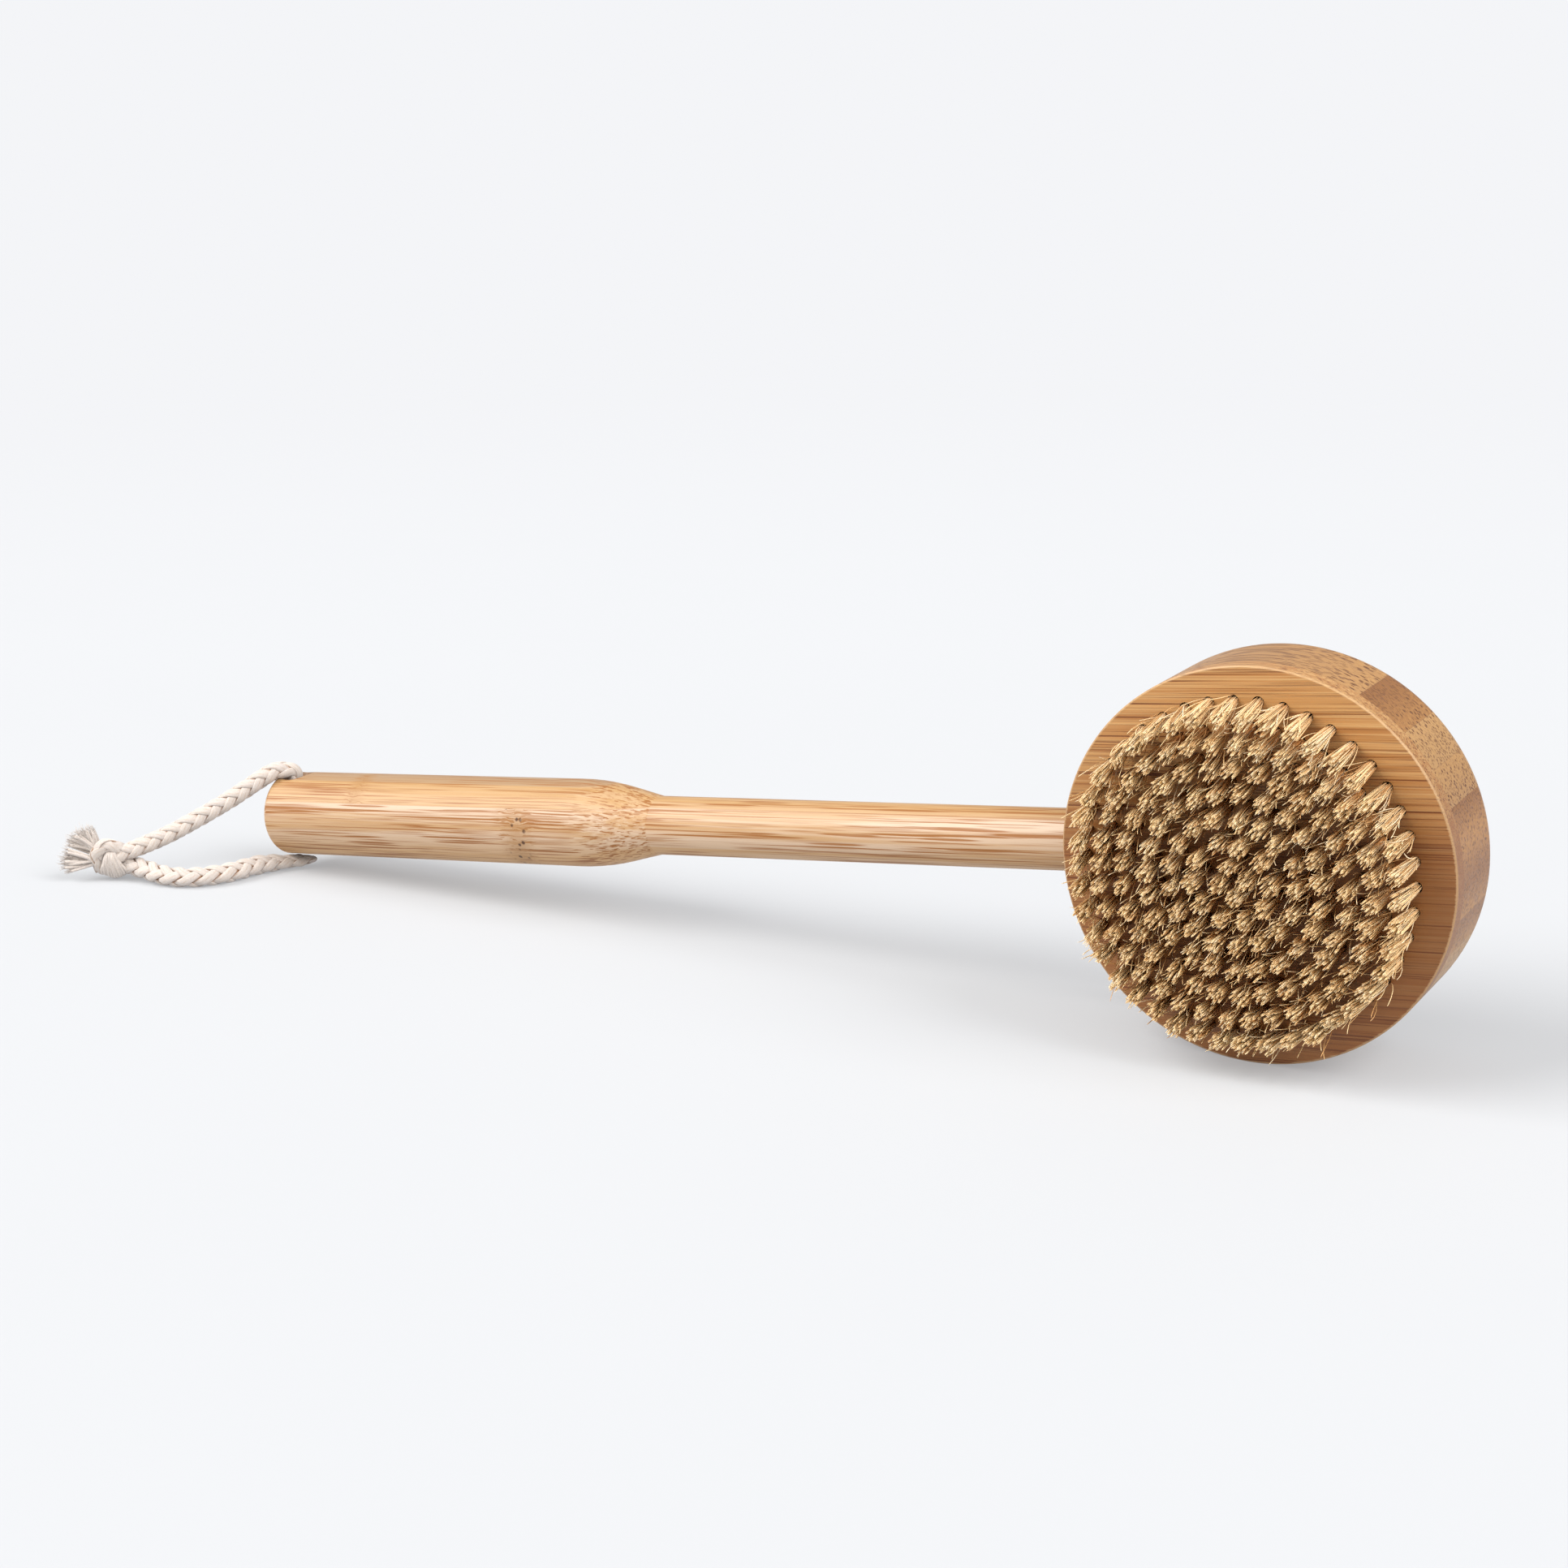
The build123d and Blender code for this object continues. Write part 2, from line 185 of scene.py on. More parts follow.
# ------------------------------------------------------------------ shader helpers
class Graph:
    """A short way to write a material's nodes."""

    def __init__(self, name):
        self.material = bpy.data.materials.new(name)
        self.material.use_nodes = True
        self.tree = self.material.node_tree
        self.tree.nodes.clear()
        self.shader = self.tree.nodes.new("ShaderNodeBsdfPrincipled")
        self.output = self.tree.nodes.new("ShaderNodeOutputMaterial")
        self.tree.links.new(self.shader.outputs[0], self.output.inputs[0])

    def put(self, value, socket):
        if isinstance(value, bpy.types.NodeSocket):
            self.tree.links.new(value, socket)
        elif value is not None:
            socket.default_value = value

    def math(self, operation, a, b=None, c=None):
        node = self.tree.nodes.new("ShaderNodeMath")
        node.operation = operation
        for value, socket in zip((a, b, c), node.inputs):
            self.put(value, socket)
        return node.outputs[0]

    def vector(self, operation, a, b=None):
        node = self.tree.nodes.new("ShaderNodeVectorMath")
        node.operation = operation
        self.put(a, node.inputs[0])
        self.put(b, node.inputs[1])
        return node.outputs["Value" if operation == "DOT_PRODUCT" else "Vector"]

    def combine(self, x, y, z):
        node = self.tree.nodes.new("ShaderNodeCombineXYZ")
        for value, socket in zip((x, y, z), node.inputs):
            self.put(value, socket)
        return node.outputs[0]

    def noise(self, vector, scale=1.0, detail=2.0, roughness=0.5):
        node = self.tree.nodes.new("ShaderNodeTexNoise")
        self.put(vector, node.inputs["Vector"])
        node.inputs["Scale"].default_value = scale
        node.inputs["Detail"].default_value = detail
        node.inputs["Roughness"].default_value = roughness
        return node.outputs["Fac"]

    def cells(self, vector, randomness=1.0):
        """Distance to the nearest cell point, and that cell's own random number."""
        node = self.tree.nodes.new("ShaderNodeTexVoronoi")
        self.put(vector, node.inputs["Vector"])
        node.inputs["Scale"].default_value = 1
        node.inputs["Randomness"].default_value = randomness
        split = self.tree.nodes.new("ShaderNodeSeparateColor")
        self.tree.links.new(node.outputs["Color"], split.inputs[0])
        return node.outputs["Distance"], split.outputs[0]

    def random(self, value):
        node = self.tree.nodes.new("ShaderNodeTexWhiteNoise")
        node.noise_dimensions = "1D"
        self.put(value, node.inputs["W"])
        return node.outputs["Value"]

    def span(self, value, low, high, to_low=0.0, to_high=1.0, smooth=True):
        node = self.tree.nodes.new("ShaderNodeMapRange")
        node.interpolation_type = "SMOOTHSTEP" if smooth else "LINEAR"
        for v, socket in zip((value, low, high, to_low, to_high), node.inputs):
            self.put(v, socket)
        return node.outputs[0]

    def mix(self, factor, a, b, blend="MIX"):
        node = self.tree.nodes.new("ShaderNodeMix")
        node.data_type, node.blend_type = "RGBA", blend
        for value, socket in ((factor, node.inputs[0]), (a, node.inputs[6]), (b, node.inputs[7])):
            self.put(value if isinstance(value, (bpy.types.NodeSocket, float, int)) else (*value, 1), socket)
        return node.outputs[2]

    def bump(self, height, strength, distance_mm, normal=None):
        node = self.tree.nodes.new("ShaderNodeBump")
        node.inputs["Strength"].default_value = strength
        node.inputs["Distance"].default_value = distance_mm * MM
        self.put(height, node.inputs["Height"])
        self.put(normal, node.inputs["Normal"])
        return node.outputs[0]

    def object_point(self):
        return self.tree.nodes.new("ShaderNodeTexCoord").outputs["Object"]

    def attribute(self, name):
        """The three channels of a colour that is stored on the mesh."""
        node = self.tree.nodes.new("ShaderNodeAttribute")
        node.attribute_name = name
        split = self.tree.nodes.new("ShaderNodeSeparateColor")
        self.tree.links.new(node.outputs["Color"], split.inputs[0])
        return split.outputs[:3]

    def scaled(self, x, y, z, along, across):
        """A point with its first part scaled by one number and the others by another."""
        return self.combine(*(self.math("MULTIPLY", v, k) for v, k in ((x, along), (y, across), (z, across))))

    def centred(self, value, amount):
        """A value from 0 to 1 as an offset either way."""
        return self.math("MULTIPLY", self.math("SUBTRACT", value, 0.5), amount)

    def finish(self, colour, roughness, normal=None, dim=1.0, **constants):
        """Sets the shader: dim darkens the whole colour, and constants are its own sockets."""
        if dim < 1:
            colour = self.mix(1.0, colour, (dim, dim, dim), "MULTIPLY")
        self.put(colour, self.shader.inputs["Base Color"])
        self.put(roughness, self.shader.inputs["Roughness"])
        self.put(normal, self.shader.inputs["Normal"])
        for name, value in constants.items():
            self.shader.inputs[name.replace("_", " ")].default_value = value
        return self.material


# ------------------------------------------------------------------ bamboo
# Places on the grain, in millimetres: u along the handle from the head, w up across it.
BLOCK_STRIP_MM, BLOCK_STRIP_START = 9.96, 3.7 / 9.96
PLY_STRIP_MM, PLY_STRIP_START = 19.5, 0.23
STRIPS_BELOW = 40  # keeps the strips' numbers positive
GRIP_NODE_MM, GRIP_NODE_REACH_MM = 249.5, 9.0
END_NODE_MM, END_NODE_REACH_MM = 315.5, 6.0
STRIPS_MEET_MM = (6.9, 7.4)
BORE_WALL_MM = (5.4, 6.1)
END_ROUND_MM = (353.2, 354.4)


def grain_point(g):
    """u along the handle, v towards the head's back and w up, in millimetres."""
    local = g.vector("SUBTRACT", g.object_point(), tuple(WOOD_ORIGIN))
    u = g.vector("DOT_PRODUCT", local, tuple(ALONG * 1000))
    v = g.vector("DOT_PRODUCT", local, (0, 1000, 0))
    w = g.vector("DOT_PRODUCT", local, tuple(ACROSS * 1000))
    return u, v, w


def at_scale(g, u, v, w, long_mm, wide_mm, seed):
    """The grain point in cells that are long along the fibres."""
    return g.combine(
        g.math("MULTIPLY_ADD", u, 1 / long_mm, seed),
        g.math("MULTIPLY_ADD", v, 1 / wide_mm, seed * 1.7),
        g.math("MULTIPLY_ADD", w, 1 / wide_mm, seed * 0.6),
    )


def bundles(g, u, v, w, long_mm, wide_mm, seed, core, edge):
    """Dark fibre bundles: dots across the grain, spindles along it."""
    distance, own = g.cells(at_scale(g, u, v, w, long_mm, wide_mm, seed))
    return g.math("MULTIPLY", g.span(distance, core, edge, 1, 0), g.span(own, 0.0, 1.0, 0.45, 1.0))


def wander(g, u, v, w, amount, seed):
    """Fibres that drift gently sideways."""
    drift_v = g.centred(g.noise(at_scale(g, u, v, w, 45, 16, seed)), amount)
    drift_w = g.centred(g.noise(at_scale(g, u, v, w, 38, 14, seed + 5)), amount)
    return g.math("ADD", v, drift_v), g.math("ADD", w, drift_w)


def knuckle(g, u, v, w, at, reach):
    """How near a point is to a culm node at u = at, from 0 to 1."""
    wobble = g.centred(g.noise(g.combine(g.math("MULTIPLY", v, 0.2), g.math("MULTIPLY", w, 0.2), at)), 7.0)
    off = g.math("ABSOLUTE", g.math("SUBTRACT", g.math("ADD", u, wobble), at))
    return g.span(off, 0, reach, 1, 0)


def bamboo_block():
    """The back block: strips across the head, dots where the rim cuts them across."""
    g = Graph("bamboo_block")
    u, v, w = grain_point(g)
    v1, w1 = wander(g, u, v, w, 1.2, 3.0)
    level = g.math("MULTIPLY_ADD", w, 1 / BLOCK_STRIP_MM, BLOCK_STRIP_START + STRIPS_BELOW)
    strip = g.math("FLOOR", level)
    inside = g.math("FRACT", level)
    tone = g.random(strip)
    turn = g.math("GREATER_THAN", g.random(g.math("ADD", strip, 71.3)), 0.5)
    depth = g.math("ABSOLUTE", g.math("SUBTRACT", inside, turn))
    u2 = g.math("MULTIPLY_ADD", tone, 400, u)
    fine = bundles(g, u2, v1, w1, 60, 0.82, 2.0, 0.28, 0.52)
    coarse = bundles(g, u2, v1, w1, 70, 1.25, 9.0, 0.24, 0.44)
    fine = g.math("MULTIPLY", fine, g.span(depth, 0.15, 0.8, 0.45, 1.3))
    coarse = g.math("MULTIPLY", coarse, g.span(depth, 0.2, 0.9, 1.2, 0.2))
    spots = g.math("ADD", fine, coarse)
    streak = g.noise(at_scale(g, u2, v1, w1, 70, 1.6, 4.0), detail=3)
    cloud = g.noise(at_scale(g, u2, v1, w1, 60, 14, 6.0), detail=1)
    base = g.mix(g.span(streak, 0.35, 0.68), (0.52, 0.225, 0.055), (0.66, 0.325, 0.095))
    base = g.mix(g.span(cloud, 0.3, 0.7, 0, 0.5), base, (0.62, 0.29, 0.085))
    base = g.mix(g.span(depth, 0.0, 1.0, 0, 0.75), base, (0.34, 0.125, 0.026))
    base = g.mix(g.span(tone, 0.25, 0.75, 0, 0.75), base, (0.80, 0.46, 0.18))
    colour = g.mix(g.math("MINIMUM", g.math("MULTIPLY", spots, 0.85), 1.0), base, (0.20, 0.068, 0.014))
    joint_line = g.span(g.math("MINIMUM", inside, g.math("SUBTRACT", 1.0, inside)), 0.0, 0.02, 1, 0)
    colour = g.mix(g.math("MULTIPLY", joint_line, 0.25), colour, (0.28, 0.12, 0.04))
    roughness = g.span(streak, 0.2, 0.8, 0.36, 0.50)
    height = g.math("SUBTRACT", streak, g.math("MULTIPLY", spots, 0.5))
    normal = g.bump(height, 0.25, 0.12)
    return g.finish(colour, roughness, normal, dim=0.58,
                    Coat_Weight=0.15, Coat_Roughness=0.28, Specular_IOR_Level=0.33)


def bamboo_ply():
    """The front ply: narrow strips on edge, so the face shows fine lines along the handle."""
    g = Graph("bamboo_ply")
    u, v, w = grain_point(g)
    v1, w1 = wander(g, u, v, w, 0.35, 8.0)
    level = g.math("MULTIPLY_ADD", w, 1 / PLY_STRIP_MM, PLY_STRIP_START + STRIPS_BELOW)
    strip = g.math("FLOOR", level)
    tone = g.random(g.math("ADD", strip, 4.2))
    u2 = g.math("MULTIPLY_ADD", tone, 300, u)
    broad = g.noise(at_scale(g, u2, v1, w1, 260, 1.9, 1.0), detail=2)
    lines = g.noise(at_scale(g, u2, v1, w1, 160, 0.55, 7.0), detail=3, roughness=0.62)
    threads = bundles(g, u2, v1, w1, 95, 0.66, 5.0, 0.16, 0.44)
    hair_lines = bundles(g, u2, v1, w1, 70, 0.45, 12.0, 0.14, 0.42)
    base = g.mix(g.span(broad, 0.36, 0.64), (0.60, 0.265, 0.075), (0.80, 0.43, 0.155))
    base = g.mix(g.span(lines, 0.46, 0.70, 0, 0.85), base, (0.88, 0.54, 0.23))
    base = g.mix(g.math("MULTIPLY", tone, 0.22), base, (0.44, 0.175, 0.05))
    # Painted shade: the face is painted darker towards its lower part, where the tufts cast their shadow on
    # it.
    base = g.mix(g.span(w, 34, 0, 0, 0.72), base, (0.31, 0.095, 0.017))
    dark = g.math("ADD", g.math("MULTIPLY", threads, 1.15), g.math("MULTIPLY", hair_lines, 0.8))
    dark = g.math("MINIMUM", dark, 1.0)
    colour = g.mix(dark, base, (0.22, 0.062, 0.012))
    # The face's outer edge is painted paler, a painted highlight where the edge catches the light, uneven
    # where it crosses the fibres.
    rim = g.vector("SUBTRACT", g.object_point(), tuple(HEAD))
    back = g.vector("DOT_PRODUCT", rim, (0, 1, 0))
    square = g.math("SUBTRACT", g.vector("DOT_PRODUCT", rim, rim), g.math("MULTIPLY", back, back))
    radius = g.math("SQRT", square)
    teeth = g.centred(g.noise(at_scale(g, u, v, w, 6, 0.55, 3.0)), 0.9 * MM)
    edge = g.span(g.math("ADD", radius, teeth), (PLY_RADIUS_MM - 0.75) * MM, (PLY_RADIUS_MM - 0.25) * MM)
    front = g.span(back, (FACE_Y - HEAD.y) + 0.25 * MM, (FACE_Y - HEAD.y) + 0.9 * MM, 1, 0)
    colour = g.mix(g.math("MULTIPLY", g.math("MULTIPLY", edge, front), 0.6), colour, (0.80, 0.52, 0.27))
    roughness = g.span(lines, 0.2, 0.8, 0.38, 0.52)
    height = g.math("SUBTRACT", lines, g.math("MULTIPLY", dark, 0.6))
    normal = g.bump(height, 0.30, 0.12)
    return g.finish(colour, roughness, normal, dim=0.59,
                    Coat_Weight=0.13, Coat_Roughness=0.30, Specular_IOR_Level=0.33)


def bamboo_handle():
    """The handle: pale wood, orange-brown bundles that the shoulder cuts into dashes, two culm nodes."""
    g = Graph("bamboo_handle")
    u, v, w = grain_point(g)
    # Two strips meet in the grip along a line just above its front, and each has its own culm node.
    upper = g.span(w, *STRIPS_MEET_MM)
    lower = g.math("SUBTRACT", 1.0, upper)
    big_node = g.math("MULTIPLY", knuckle(g, u, v, w, GRIP_NODE_MM, GRIP_NODE_REACH_MM), lower)
    small_node = g.math("MULTIPLY", knuckle(g, u, v, w, END_NODE_MM, END_NODE_REACH_MM), upper)
    near = g.math("MAXIMUM", big_node, small_node)
    v1, w1 = wander(g, u, v, w, 0.4, 3.0)
    swirl = g.centred(g.noise(g.scaled(u, v, w, 0.16, 0.5), detail=2), g.math("MULTIPLY", near, 3.4))
    v2, w2 = g.math("ADD", v1, swirl), g.math("ADD", w1, swirl)
    u2 = g.math("MULTIPLY_ADD", upper, 260, u)
    long_streaks = bundles(g, u2, v2, w2, 30, 1.1, 2.5, 0.24, 0.42)
    fine_streaks = bundles(g, u2, v2, w2, 38, 0.8, 7.5, 0.24, 0.46)
    band = g.noise(at_scale(g, u2, v1, w1, 120, 4.2, 11.0), detail=2)
    lines = g.noise(at_scale(g, u2, v2, w2, 130, 0.7, 3.5), detail=3, roughness=0.6)
    threads = g.span(g.noise(at_scale(g, u2, v2, w2, 60, 0.6, 9.5), detail=2), 0.54, 0.63)
    crowd = g.span(g.noise(at_scale(g, u2, v1, w1, 55, 7.0, 21.0), detail=1), 0.38, 0.62)
    base = g.mix(g.span(band, 0.42, 0.56), (0.68, 0.41, 0.20), (0.80, 0.575, 0.40))
    base = g.mix(g.span(lines, 0.42, 0.72, 0, 0.6), base, (0.86, 0.665, 0.49))
    base = g.mix(g.math("MULTIPLY", upper, 0.65), base, (0.64, 0.37, 0.135))
    base = g.mix(g.span(w, -1.0, -10.0, 0, 0.7), base, (0.88, 0.52, 0.23))
    base = g.mix(g.span(w, 12.7, 13.1, 0, 0.6), base, (0.44, 0.30, 0.19))
    amount = g.math("MULTIPLY", long_streaks, g.span(crowd, 0, 1, 0.45, 1.0))
    amount = g.math("ADD", amount, g.math("MULTIPLY", fine_streaks, g.span(crowd, 0, 1, 0.30, 0.8)))
    amount = g.math("ADD", amount, g.math("MULTIPLY", threads, g.span(crowd, 0, 1, 0.75, 1.2)))
    colour = g.mix(g.math("MINIMUM", amount, 1.0), base, (0.43, 0.17, 0.042))
    colour = g.mix(g.math("MULTIPLY", near, 0.5), colour, (0.50, 0.25, 0.08))
    pores, _ = g.cells(g.scaled(u, v, w, 0.36, 0.36))
    pores = g.math("MULTIPLY", g.span(pores, 0.16, 0.32, 1, 0), g.span(big_node, 0.5, 0.85))
    colour = g.mix(g.math("MULTIPLY", pores, 0.9), colour, (0.09, 0.03, 0.01))
    # The drilled bore's walls are painted darker, a painted shade inside the hole.
    bore = g.vector("SUBTRACT", g.object_point(), tuple(BORE))
    bore_up = g.vector("DOT_PRODUCT", bore, tuple(ACROSS))
    square = g.math("SUBTRACT", g.vector("DOT_PRODUCT", bore, bore), g.math("MULTIPLY", bore_up, bore_up))
    bore_shade = g.span(square, (BORE_WALL_MM[0] * MM) ** 2, (BORE_WALL_MM[1] * MM) ** 2, 1, 0)
    colour = g.mix(g.math("MULTIPLY", bore_shade, 0.8), colour, (0.22, 0.095, 0.032))
    # The end's rounded edge is sanded a little paler.
    end = g.math("MULTIPLY", g.span(u, *END_ROUND_MM), 0.35)
    colour = g.mix(end, colour, (0.80, 0.60, 0.40))
    roughness = g.span(lines, 0.2, 0.8, 0.38, 0.55)
    height = g.math("SUBTRACT", lines, g.math("ADD", g.math("MULTIPLY", amount, 0.5), pores))
    normal = g.bump(height, 0.25, 0.12)
    return g.finish(colour, roughness, normal, dim=0.64,
                    Coat_Weight=0.12, Coat_Roughness=0.32, Specular_IOR_Level=0.33)


def anchor_steel():
    """Drawn wire, with fine streaks along it."""
    g = Graph("anchor_steel")
    streak = g.noise(g.vector("MULTIPLY", g.object_point(), (400, 4000, 4000)), detail=3)
    colour = g.mix(streak, (0.42, 0.42, 0.43), (0.66, 0.66, 0.67))
    return g.finish(colour, g.span(streak, 0, 1, 0.25, 0.5), g.bump(streak, 0.2, 0.05), Metallic=1.0)


# ------------------------------------------------------------------ bristles and cord materials
def bristle_material():
    """Fibre colour: red is the hair's own tone, green runs root to tip and sets the painted shade near the
    roots, blue is its tuft's tone.
    """
    g = Graph("bristle")
    tone, along, tuft = g.attribute("fibre")
    # Painted shade: hairs are painted dark orange-brown near their roots, where shade falls deep among the
    # tufts, and pale at their tips.
    base = g.mix(g.span(along, 0.28, 0.9), (0.62, 0.27, 0.075), (0.99, 0.78, 0.46))
    base = g.mix(g.span(tone, 0.12, 0.30, 0.8, 0, smooth=False), base, (0.52, 0.23, 0.06))
    base = g.mix(g.span(tone, 0.70, 0.95, 0, 0.85, smooth=False), base, (1.0, 0.90, 0.70))
    base = g.mix(g.math("MULTIPLY", tuft, 0.28), base, (0.88, 0.60, 0.28))
    grit = g.noise(g.object_point(), scale=2600, detail=2)
    colour = g.mix(g.span(grit, 0.4, 0.7, 0, 0.15), base, (0.72, 0.50, 0.28))
    return g.finish(colour, g.span(tone, 0, 1, 0.35, 0.5), None, Specular_IOR_Level=0.35)


def cotton_material():
    """Cotton: red is the depth between strands, which is painted as shade; green runs round the yarns and
    also paints shade in their grooves; blue is a strand's tone.
    """
    g = Graph("cotton")
    depth, yarn, tone = g.attribute("fibre")
    fuzz = g.noise(g.object_point(), scale=2400, detail=3, roughness=0.65)
    base = g.mix(g.span(fuzz, 0.35, 0.7), (0.74, 0.645, 0.59), (0.85, 0.78, 0.735))
    base = g.mix(g.math("MULTIPLY", tone, 0.25), base, (0.86, 0.755, 0.64))
    # Painted shade: the grooves between a yarn's plies are painted darker.
    base = g.mix(g.span(yarn, 0.0, 0.5, 0.6, 0), base, (0.66, 0.44, 0.27))
    # Painted shade: the cotton is painted darker where it lies deep between the strands.
    colour = g.mix(g.span(depth, 0.22, 0.70, 0, 0.95), base, (0.50, 0.24, 0.095))
    height = g.math("ADD", g.math("MULTIPLY", fuzz, 0.6), yarn)
    return g.finish(colour, 0.9, g.bump(height, 0.5, 0.18), dim=0.66,
                    Specular_IOR_Level=0.2, Sheen_Weight=0.35, Sheen_Roughness=0.6)


# ------------------------------------------------------------------ tufts
OUTER_RADIUS_MM, RING_PITCH_MM, RINGS = 46.1, 7.0, 7
RING_CENTRE_MM = np.array([-1.8, -0.6])
TUFT_SPACING_MM, TUFT_LENGTH_MM = 6.85, 19.0
FIRST_TUFT_DEG, NEXT_RING_DEG = 2.15, 137.5
ROOT_RADIUS_MM, TIP_RADIUS_MM = 1.42, 2.7
TIP_PULL = 0.955  # a ring's radius at its tips, as a share of its radius at its roots
ROOT_DEPTH_MM = 1.2
LONGEST_OVER_MM = 0.9
STRAY_SHARE, STRAY_REACH_MM = 0.10, 4.4
HAIRS, CLUMPS, HAIR_SIDES = 130, 26, 3
HAIR_STEPS = np.array([0.0, 0.25, 0.5, 0.75, 0.92, 1.0])
HAIR_RADIUS_MM = np.array([0.125, 0.14, 0.15, 0.15, 0.125, 0.045])


def disc(random, count, radius):
    """Even random points in a disc."""
    r = radius * np.sqrt(random.random(count))
    a = random.random(count) * 2 * pi
    return np.stack([r * np.cos(a), r * np.sin(a)], axis=1)


def hair_tubes(builder, lines, radii, colours):
    """Thin prisms along many lines at once; lines has the shape (hairs, steps, 3)."""
    hairs, steps = lines.shape[:2]
    tangent = unit(np.gradient(lines, axis=1))
    side = unit(np.cross(tangent, np.array([0.31, 0.2, 0.93])))
    up = np.cross(side, tangent)
    angle = np.arange(HAIR_SIDES) * 2 * pi / HAIR_SIDES
    ring = side[:, :, None] * np.cos(angle)[:, None] + up[:, :, None] * np.sin(angle)[:, None]
    verts = lines[:, :, None] + ring * radii[:, :, None, None]
    per = steps * HAIR_SIDES
    pattern = tube_faces(steps, HAIR_SIDES)
    faces = [[h * per + i for i in face] for h in range(hairs) for face in pattern]
    spread = np.repeat(colours, HAIR_SIDES, axis=1)
    builder.add(verts.reshape(-1, 3), faces, spread.reshape(-1, 3))


def tuft_lines(random, x_mm, z_mm, lean):
    """The hairs of one tuft in metres, with their radii and colours. Its place is from the head's centre."""
    root = disc(random, HAIRS, ROOT_RADIUS_MM)
    spread = TIP_RADIUS_MM * random.uniform(0.86, 1.12)
    clump_at = disc(random, CLUMPS, spread)
    outward = np.linalg.norm(root, axis=1, keepdims=True) / ROOT_RADIUS_MM
    start = root / ROOT_RADIUS_MM * spread * (0.62 + 0.44 * outward)
    nearest = np.argmin(((start[:, None] - clump_at[None]) ** 2).sum(axis=2), axis=1)
    tip = start * 0.94 + random.normal(0, 0.14, (HAIRS, 2))
    pull = (clump_at[nearest] - start) * 0.80
    stray = random.random(HAIRS) < STRAY_SHARE
    tip[stray] += disc(random, HAIRS, STRAY_REACH_MM)[stray]
    short = random.exponential(1.15, CLUMPS)[nearest] + np.abs(random.normal(0, 0.4, HAIRS))
    short = short + 0.6 * outward[:, 0] ** 3
    length = TUFT_LENGTH_MM + random.normal(0.4, 0.25) - short
    length[stray] *= random.uniform(0.8, 1.05, HAIRS)[stray]
    length = np.minimum(length, TUFT_LENGTH_MM + LONGEST_OVER_MM)
    tip = tip + lean + random.normal(0, 0.3, 2)
    bow = random.normal(0, 0.10, (HAIRS, 2)) + np.where(stray[:, None], disc(random, HAIRS, 2.4), 0)
    t = HAIR_STEPS[None, :, None]
    fan = t ** 0.95
    flat = root[:, None] * (1 - fan) + tip[:, None] * fan + pull[:, None] * t**1.6
    flat = flat + bow[:, None] * (2 * t * (1 - t))
    proud = -ROOT_DEPTH_MM + (length[:, None] + ROOT_DEPTH_MM) * HAIR_STEPS[None]
    lines = np.stack([x_mm + flat[:, :, 0], -proud, z_mm + flat[:, :, 1]], axis=2)
    lines = lines * MM + np.array([HEAD.x, FACE_Y, HEAD.z])
    tone = np.clip(random.random(HAIRS) + 0.20 - 0.36 * outward[:, 0] ** 2, 0, 1)
    colour = np.empty((HAIRS, len(HAIR_STEPS), 3))
    colour[:, :, 0] = tone[:, None]
    # Green runs root to tip; the bristle shader paints shade from it near the roots.
    colour[:, :, 1] = HAIR_STEPS
    colour[:, :, 2] = random.random()
    radii = HAIR_RADIUS_MM[None] * MM * random.uniform(0.8, 1.15, (HAIRS, 1))
    return lines, radii, colour


def make_tufts(material):
    """Each ring of tufts as one piece."""
    random = np.random.default_rng(41)
    for ring in range(RINGS):
        radius = OUTER_RADIUS_MM - ring * RING_PITCH_MM
        count = round(2 * pi * radius / TUFT_SPACING_MM)
        builder = Builder()
        for i in range(count):
            angle = radians(FIRST_TUFT_DEG + ring * NEXT_RING_DEG + 360 * i / count)
            out = np.array([cos(angle), sin(angle)])
            lean = -RING_CENTRE_MM - out * radius * (1 - TIP_PULL)
            lines, radii, colour = tuft_lines(random, *(RING_CENTRE_MM + out * radius), lean)
            if ring == 0:  # the outer tufts stand in the light down to their roots
                colour[:, :, 1] = 0.55 + 0.45 * colour[:, :, 1]
            hair_tubes(builder, lines, radii, colour)
        obj = builder.object(f"bristles_ring_{ring + 1}", material)
        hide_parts(f"tuft_ring_{ring + 1}")
        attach(obj, "brush")


# ------------------------------------------------------------------ cord
LAY_MM = 23.0  # one turn of a strand round the braid
STRAND_POINTS = 28
STRAND_HALF_WIDTH_MM, STRAND_HALF_THICKNESS_MM = 1.5, 0.92
BRAID_RADIUS_MM, BRAID_WAVE_MM = 1.76, 0.72
STRANDS = 8
YARNS = 7
CORD_STEP = 0.4 * MM
NOSE_MM = 7.0

# Routes from the bore's axis in plan and the floor in height, in millimetres.
UPPER_ROUTE_MM = [
    (-1.9, -0.2, 33.1),
    (-4.1, -2.3, 34.4),
    (-7.3, -5.3, 34.3),
    (-11.5, -9.5, 30.9),
    (-18.6, -16.2, 25.0),
    (-27.6, -24.6, 18.7),
    (-35.9, -32.2, 13.3),
    (-46.6, -42.0, 8.6),
]
LOWER_ROUTE_MM = [
    (3.4, 1.6, 2.6),
    (-2.6, -3.6, 2.45),
    (-6.6, -9.6, 2.8),
    (-9.6, -15.6, 3.1),
    (-11.2, -25.6, 3.1),
    (-16.5, -33.9, 3.1),
    (-22.6, -37.9, 3.1),
    (-30.6, -39.0, 3.3),
    (-38.6, -37.7, 3.9),
    (-47.2, -39.4, 5.2),
]
KNOT_MM = Vector((-50.2, -42.4, 7.0))


def from_bore(x, y, z):
    """A point of a route, in metres."""
    return Vector((BORE.x + x * MM, BORE.y + y * MM, z * MM))


